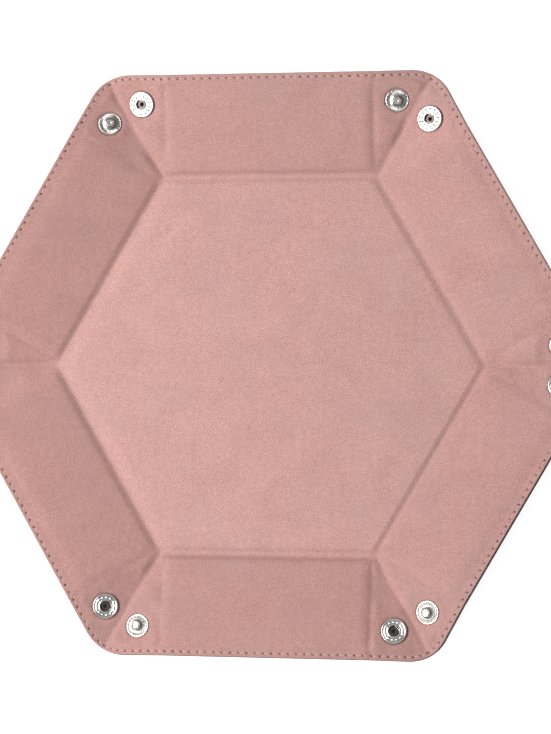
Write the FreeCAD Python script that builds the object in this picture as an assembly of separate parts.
import FreeCAD, Part
import math
import os
from FreeCAD import Vector

os.makedirs("parts", exist_ok=True)

# Folding hexagonal dice tray, lying open. Leather outside and velvet lining inside, with stiff
# boards between them in the base and the six walls. Each corner is two soft flap halves without
# a board, which fold together and are held by a snap.
# Origin: centre of the base's underside, +Z up. Wall 1 faces +Y and the others follow clockwise
# seen from above. Corner K lies between wall K and wall K+1. Millimetres.

# ---------------------------------------------------------------- sheet
WALLS = 6
BASE_ACROSS_FLATS = 160.0  # crease to crease
WALL_DEPTH = 45.0          # base crease to the sheet's outer edge
SHEET_CORNER_R = 19.0      # rounding of the sheet's outer corners

LEATHER_T = 1.0
LINING_T = 0.8
BOARD_T = 1.0

# Walls' angle above flat
REST_ANGLE = 12.0          # tray open
SNAP_ANGLE = 78.0          # corners snapped

# ---------------------------------------------------------------- creases and padded blocks
FOLD_R = 0.5               # leather's round bead, on the crease axis
FOLD_GAP = 0.02            # clearance between a bead and the next panel
BASE_BEAD_INSET = 2.0      # base bead stops this far from the base corner
FLAP_FOOT = 2.0            # flaps and end beads start this far out from the base crease

LINING_INSET = 1.15        # lining sheet to a base crease
LINING_END_INSET = 0.3     # lining sheet to a wall's end crease
BLOCK_INSET = 2.0          # padded block to a base crease
BLOCK_END_INSET = 3.6      # wall block to the wall's end crease
BLOCK_EDGE_INSET = 4.6     # wall block to the sheet's outer edge

BLOCK_CORNER_R = 1.8       # upright corners of the padded blocks
BLOCK_RIM_R = 0.6          # top edge of the padded blocks
BOARD_CORNER_R = 1.2
BOARD_RIM_R = 0.25

LEATHER_SETBACK = 0.25     # flap leather to the corner's own crease, each side
LINING_SETBACK = 0.90      # flap lining to the corner's own crease, each side

# ---------------------------------------------------------------- snap
SNAP_ALONG = 32.6          # snap centre from the base corner, along the corner's crease
SNAP_OFF = 8.55            # snap centre, square off the corner's crease
SNAP_SINK = 0.45           # flanges press this far into the lining
FLANGE_CLEAR = 0.02        # lining recess is this much wider than the flange's radius

SOCKET_R = 5.4
SOCKET_TOP = 1.15          # above the lining
SOCKET_HOLE_R = 1.2        # hole through the socket flap
MOUTH_R = 2.15
CAP_R = 6.0

WIRE_R = 0.2               # spring wire
WIRE_X = 1.97              # straight wires to the snap's axis
WIRE_Z = 0.45
WIRE_START_Y = -2.4
BEND_R = 3.0

STUD_R = 4.9
STUD_HOLE_R = 1.0          # hole through the stud flap
BALL_R = 1.55
BALL_Z = 2.55              # ball centre above the lining
NECK_R = 1.25
NOSE_RISE = 0.85           # flat end of the ball above its centre

# ---------------------------------------------------------------- derived
COS30, SIN30, TAN30 = math.cos(math.radians(30.0)), 0.5, math.tan(math.radians(30.0))
APOTHEM = BASE_ACROSS_FLATS / 2.0
HALF_EDGE = APOTHEM * TAN30                      # half length of a base edge
CREASE_Z = LEATHER_T / 2.0                       # creases lie in the leather's mid-plane
LINING_TOP = LEATHER_T + LINING_T                # where there is no board
BLOCK_TOP = LEATHER_T + BOARD_T + LINING_T


def flap_angle(wall_angle):
    """Fold of a flap against its wall that keeps the corner's crease on the corner's mid-plane.

    It solves cos(x) - slope * sin(x) = cos(wall_angle).
    """
    wall = math.radians(wall_angle)
    slope = math.sin(wall) * TAN30
    fold = math.acos(math.cos(wall) / math.hypot(1.0, slope)) - math.atan(slope)
    return math.degrees(fold)


def flap_inset():
    """Flap crease to base corner, along the wall, so that two snapped linings just meet."""
    flap = math.radians(flap_angle(SNAP_ANGLE))
    rise = SIN30 * math.sin(math.radians(SNAP_ANGLE))
    return (
        (LINING_TOP - CREASE_Z)
        * (COS30 * math.sin(flap) + rise * math.cos(flap))
        / (COS30 * (1 - math.cos(flap)) + rise * math.sin(flap))
    )


FLAP_REST = flap_angle(REST_ANGLE)
FLAP_INSET = flap_inset()
WALL_END = HALF_EDGE - FLAP_INSET                # wall's middle to its end crease
SNAP_X = HALF_EDGE + SNAP_ALONG * SIN30 - SNAP_OFF * COS30
SNAP_Y = SNAP_ALONG * COS30 + SNAP_OFF * SIN30


# ---------------------------------------------------------------- shape helpers
def prism(points, z0, z1):
    corners = [Vector(x, y, z0) for x, y in points]
    return Part.Face(Part.makePolygon(corners + [corners[0]])).extrude(Vector(0, 0, z1 - z0))


def hex_prism(apothem, z0, z1):
    radius = apothem / COS30
    angles = [math.radians(60 * i) for i in range(6)]
    return prism([(radius * math.cos(a), radius * math.sin(a)) for a in angles], z0, z1)


def box(x0, x1, y0, y1, z0, z1):
    return Part.makeBox(x1 - x0, y1 - y0, z1 - z0, Vector(x0, y0, z0))


def soften(block, z_top, corner_r, rim_r):
    """Round the upright corners, then the top edge."""
    upright = [e for e in block.Edges if abs(e.tangentAt(e.FirstParameter).z) > 0.9]
    block = block.makeFillet(corner_r, upright)
    rim = [e for e in block.Edges if all(abs(v.Point.z - z_top) < 1e-6 for v in e.Vertexes)]
    return block.makeFillet(rim_r, rim)


def revolve(profile, arcs):
    """Solid of revolution about Z.

    profile: closed outline of (radius, z) points.
    arcs: {index of the arc's first point: (radius, z) of a point on the arc}.
    """
    points = [Vector(radius, 0, z) for radius, z in profile]
    edges = []
    for i, start in enumerate(points):
        end = points[(i + 1) % len(points)]
        if i in arcs:
            radius, z = arcs[i]
            edges.append(Part.Arc(start, Vector(radius, 0, z), end).toShape())
        else:
            edges.append(Part.makeLine(start, end))
    return Part.Face(Part.Wire(edges)).revolve(Vector(0, 0, 0), Vector(0, 0, 1), 360)


def turn(shape, point, axis, degrees):
    turned = shape.copy()
    turned.rotate(Vector(*point), Vector(*axis), degrees)
    return turned


# ---------------------------------------------------------------- placing
# Walls and flaps are drawn flat: x along the base crease, y outwards from it.
# side +1 is the wall's clockwise end, -1 its other end.
def place_wall(shape, wall):
    """From the flat layout to the wall's place on the open tray."""
    placed = turn(shape, (0, 0, CREASE_Z), (1, 0, 0), REST_ANGLE)
    placed.translate(Vector(0, APOTHEM, 0))
    return turn(placed, (0, 0, 0), (0, 0, 1), -60.0 * (wall - 1))


def place_flap(shape, wall, side):
    folded = turn(shape, (side * WALL_END, 0, CREASE_Z), (0, side, 0), FLAP_REST)
    return place_wall(folded, wall)


def place_snap(bodies, wall, side):
    """Snap bodies, drawn about Z with z = 0 on the lining, to their place on a flap."""
    solids = []
    for body in bodies:
        moved = body.copy()
        moved.translate(Vector(side * SNAP_X, SNAP_Y, LINING_TOP))
        solids += place_flap(moved, wall, side).Solids
    return Part.makeCompound(solids)


# ---------------------------------------------------------------- base
def base_leather():
    """Hexagonal sheet with a fold bead along each crease."""
    leather = hex_prism(APOTHEM, 0, LEATHER_T)
    half_bead = HALF_EDGE - BASE_BEAD_INSET
    start = Vector(-half_bead, APOTHEM, CREASE_Z)
    for i in range(WALLS):
        bead = Part.makeCylinder(FOLD_R, 2 * half_bead, start, Vector(1, 0, 0))
        leather = leather.fuse(turn(bead, (0, 0, 0), (0, 0, 1), 60.0 * i))
    return leather.removeSplitter()


def base_board():
    z_top = LEATHER_T + BOARD_T
    board = hex_prism(APOTHEM - BLOCK_INSET - LINING_T, LEATHER_T, z_top)
    return soften(board, z_top, BOARD_CORNER_R, BOARD_RIM_R)


def base_lining(board):
    """Thin sheet with a padded block raised over the board."""
    sheet = hex_prism(APOTHEM - LINING_INSET, LEATHER_T, LINING_TOP)
    block = hex_prism(APOTHEM - BLOCK_INSET, LEATHER_T, BLOCK_TOP)
    block = soften(block, BLOCK_TOP, BLOCK_CORNER_R, BLOCK_RIM_R)
    return sheet.fuse(block).cut(board).removeSplitter()


# ---------------------------------------------------------------- wall
def wall_leather():
    """Rectangular panel with a fold bead along each end crease."""
    leather = box(-WALL_END, WALL_END, FOLD_R + FOLD_GAP, WALL_DEPTH, 0, LEATHER_T)
    for side in (-1, 1):
        start = Vector(side * WALL_END, FLAP_FOOT, CREASE_Z)
        bead = Part.makeCylinder(FOLD_R, WALL_DEPTH - FLAP_FOOT, start, Vector(0, 1, 0))
        leather = leather.fuse(bead)
    return leather.removeSplitter()


def wall_block(inset, z_top):
    """Box over the wall's padded area, drawn in by inset all round."""
    half_width = WALL_END - BLOCK_END_INSET - inset
    y_outer = WALL_DEPTH - BLOCK_EDGE_INSET - inset
    return box(-half_width, half_width, BLOCK_INSET + inset, y_outer, LEATHER_T, z_top)


def wall_board():
    z_top = LEATHER_T + BOARD_T
    return soften(wall_block(LINING_T, z_top), z_top, BOARD_CORNER_R, BOARD_RIM_R)


def wall_lining(board):
    half_width = WALL_END - LINING_END_INSET
    sheet = box(-half_width, half_width, LINING_INSET, WALL_DEPTH, LEATHER_T, LINING_TOP)
    block = soften(wall_block(0, BLOCK_TOP), BLOCK_TOP, BLOCK_CORNER_R, BLOCK_RIM_R)
    return sheet.fuse(block).cut(board).removeSplitter()


# ---------------------------------------------------------------- flap halves
def flap_sheet(side, setback, crease_gap, z0, z1):
    """Flap half, setback from the corner's crease and crease_gap from the flap's own crease."""
    def point(x, y):
        """x from the base corner, away from the wall."""
        return Vector(side * (HALF_EDGE + x), y, z0)

    # The corner's crease runs along (SIN30, COS30); (-COS30, SIN30) is square off it.
    centre_along = (WALL_DEPTH - SHEET_CORNER_R) / COS30
    centre_x, centre_y = centre_along * SIN30, centre_along * COS30
    reach = math.sqrt(SHEET_CORNER_R**2 - setback**2)
    tip_dx = SIN30 * reach - COS30 * setback
    tip_dy = COS30 * reach + SIN30 * setback
    mid_angle = (math.atan2(tip_dy, tip_dx) + math.pi / 2) / 2

    x_inner = -FLAP_INSET + crease_gap
    inner_foot = point(x_inner, FLAP_FOOT)
    outer_foot = point((SIN30 * FLAP_FOOT - setback) / COS30, FLAP_FOOT)
    tip = point(centre_x + tip_dx, centre_y + tip_dy)
    arc_mid = point(
        centre_x + SHEET_CORNER_R * math.cos(mid_angle),
        centre_y + SHEET_CORNER_R * math.sin(mid_angle),
    )
    arc_end = point(centre_x, WALL_DEPTH)
    inner_top = point(x_inner, WALL_DEPTH)
    edges = [
        Part.makeLine(inner_foot, outer_foot),
        Part.makeLine(outer_foot, tip),
        Part.Arc(tip, arc_mid, arc_end).toShape(),
        Part.makeLine(arc_end, inner_top),
        Part.makeLine(inner_top, inner_foot),
    ]
    return Part.Face(Part.Wire(edges)).extrude(Vector(0, 0, z1 - z0))


def snap_hole(side, radius):
    return Part.makeCylinder(radius, 10.0, Vector(side * SNAP_X, SNAP_Y, -5.0))


def flap_leather(side, hole_r):
    sheet = flap_sheet(side, LEATHER_SETBACK, FOLD_R + FOLD_GAP, 0, LEATHER_T)
    return sheet.cut(snap_hole(side, hole_r))


def flap_lining(side, hole_r, flange_r):
    """Lining with a hole, and a recess that takes the snap's flange."""
    sheet = flap_sheet(side, LINING_SETBACK, LINING_END_INSET, LEATHER_T, LINING_TOP)
    recess_base = Vector(side * SNAP_X, SNAP_Y, LINING_TOP - SNAP_SINK)
    recess = Part.makeCylinder(flange_r + FLANGE_CLEAR, 5.0, recess_base)
    return sheet.cut(snap_hole(side, hole_r)).cut(recess)


# ---------------------------------------------------------------- snap, about Z, z = 0 on lining
UNDERSIDE = -LINING_TOP    # underside of the leather


def socket_body():
    """Ring with a central mouth and an inner groove for the spring."""
    profile = [
        (1.2, -SNAP_SINK), (SOCKET_R - 0.3, -SNAP_SINK), (SOCKET_R, -SNAP_SINK + 0.3),
        (SOCKET_R, SOCKET_TOP - 0.35), (SOCKET_R - 0.35, SOCKET_TOP),
        (SOCKET_R - 0.9, SOCKET_TOP), (SOCKET_R - 1.05, SOCKET_TOP - 0.08),
        (MOUTH_R + 0.5, SOCKET_TOP - 0.08), (MOUTH_R + 0.4, SOCKET_TOP),
        (MOUTH_R + 0.12, SOCKET_TOP), (MOUTH_R, SOCKET_TOP - 0.12),
        (MOUTH_R, 0.85), (3.4, 0.85), (3.4, 0.0), (3.2, -0.15), (1.2, -0.15),
    ]
    arcs = {
        3: (SOCKET_R - 0.1, SOCKET_TOP - 0.1),
        9: (MOUTH_R + 0.035, SOCKET_TOP - 0.035),
    }
    return revolve(profile, arcs)


def socket_spring():
    """Two straight wires across the mouth, joined at +y by a round bend."""
    bend_y = math.sqrt(BEND_R**2 - WIRE_X**2)

    def wire(x):
        start = Vector(x, WIRE_START_Y, WIRE_Z)
        return Part.makeCylinder(WIRE_R, bend_y - WIRE_START_Y, start, Vector(0, 1, 0))

    spring = wire(WIRE_X).fuse(wire(-WIRE_X))
    ring = Part.makeTorus(BEND_R, WIRE_R, Vector(0, 0, WIRE_Z), Vector(0, 0, 1), 0, 360)
    # Wedge from the axis through both wire ends, well past the ring
    wedge_x, wedge_y = 40 * WIRE_X, 40 * bend_y
    wedge = prism(
        [(0, 0), (wedge_x, wedge_y), (0, 400), (-wedge_x, wedge_y)], WIRE_Z - 1, WIRE_Z + 1
    )
    spring = spring.fuse(ring.common(wedge))
    for side in (-1, 1):
        joint = Part.makeSphere(WIRE_R, Vector(side * WIRE_X, bend_y, WIRE_Z))
        spring = spring.fuse(joint)
    return spring.removeSplitter()


def socket_cap():
    """Domed cap under the leather, with a hollow post flared over the socket's floor."""
    profile = [
        (0, UNDERSIDE - 1.2), (CAP_R - 0.55, UNDERSIDE - 0.75), (CAP_R, UNDERSIDE - 0.25),
        (CAP_R - 0.1, UNDERSIDE), (1.15, UNDERSIDE), (1.15, -0.15), (1.85, -0.15),
        (1.85, -0.05), (1.25, 0.03), (0.8, -0.02), (0.8, UNDERSIDE - 0.3), (0, UNDERSIDE - 0.3),
    ]
    arcs = {0: (3.0, UNDERSIDE - 1.10), 1: (CAP_R - 0.12, UNDERSIDE - 0.58)}
    return revolve(profile, arcs)


def stud_body():
    """Flange, neck and flat-ended ball."""
    neck_top = BALL_Z - math.sqrt(BALL_R**2 - NECK_R**2)
    nose_r = math.sqrt(BALL_R**2 - NOSE_RISE**2)
    nose_z = BALL_Z + NOSE_RISE
    profile = [
        (0.97, -SNAP_SINK), (STUD_R - 0.25, -SNAP_SINK), (STUD_R, -SNAP_SINK + 0.25),
        (STUD_R, 0.15), (STUD_R - 0.15, 0.3), (STUD_R - 0.45, 0.3), (STUD_R - 0.7, 0.05),
        (2.1, 0.05), (1.5, 0.3), (NECK_R, 0.8), (NECK_R, neck_top),
        (nose_r, nose_z), (0, nose_z), (0, 1.2), (0.97, 1.2),
    ]
    return revolve(profile, {10: (BALL_R, BALL_Z)})


def stud_post():
    """Flange under the leather, with a hollow post up into the stud."""
    profile = [
        (0.6, UNDERSIDE - 0.5), (1.1, UNDERSIDE - 0.75), (STUD_R - 0.4, UNDERSIDE - 0.6),
        (STUD_R, UNDERSIDE - 0.2), (STUD_R - 0.05, UNDERSIDE), (0.95, UNDERSIDE),
        (0.95, 1.15), (0.6, 1.15),
    ]
    arcs = {1: (3.0, UNDERSIDE - 0.82), 2: (STUD_R - 0.08, UNDERSIDE - 0.47)}
    return revolve(profile, arcs)


# ---------------------------------------------------------------- build and write
def write(node, shape):
    assert shape.isValid(), node
    assert all(solid.Volume > 0 for solid in shape.Solids), node
    shape.exportStep(f"parts/{node}.step")


def write_base():
    board = base_board()
    write("base_leather", base_leather())
    write("base_board", board)
    write("base_lining", base_lining(board))


def write_walls():
    board = wall_board()
    layers = {"leather": wall_leather(), "board": board, "lining": wall_lining(board)}
    for wall in range(1, WALLS + 1):
        for layer, shape in layers.items():
            write(f"wall_{wall}_{layer}", place_wall(shape, wall))


def write_corners():
    """Stud flap on wall K's clockwise end, socket flap on the facing end of the next wall."""
    halves = [
        # name, side, hole radius, flange radius, snap bodies
        ("stud", 1, STUD_HOLE_R, STUD_R, [stud_body(), stud_post()]),
        ("socket", -1, SOCKET_HOLE_R, SOCKET_R, [socket_body(), socket_spring(), socket_cap()]),
    ]
    for name, side, hole_r, flange_r, bodies in halves:
        leather = flap_leather(side, hole_r)
        lining = flap_lining(side, hole_r, flange_r)
        for corner in range(1, WALLS + 1):
            wall = corner if side == 1 else corner % WALLS + 1
            write(f"corner_{corner}_{name}_flap_leather", place_flap(leather, wall, side))
            write(f"corner_{corner}_{name}_flap_lining", place_flap(lining, wall, side))
            write(f"corner_{corner}_snap_{name}", place_snap(bodies, wall, side))


write_base()
write_walls()
write_corners()
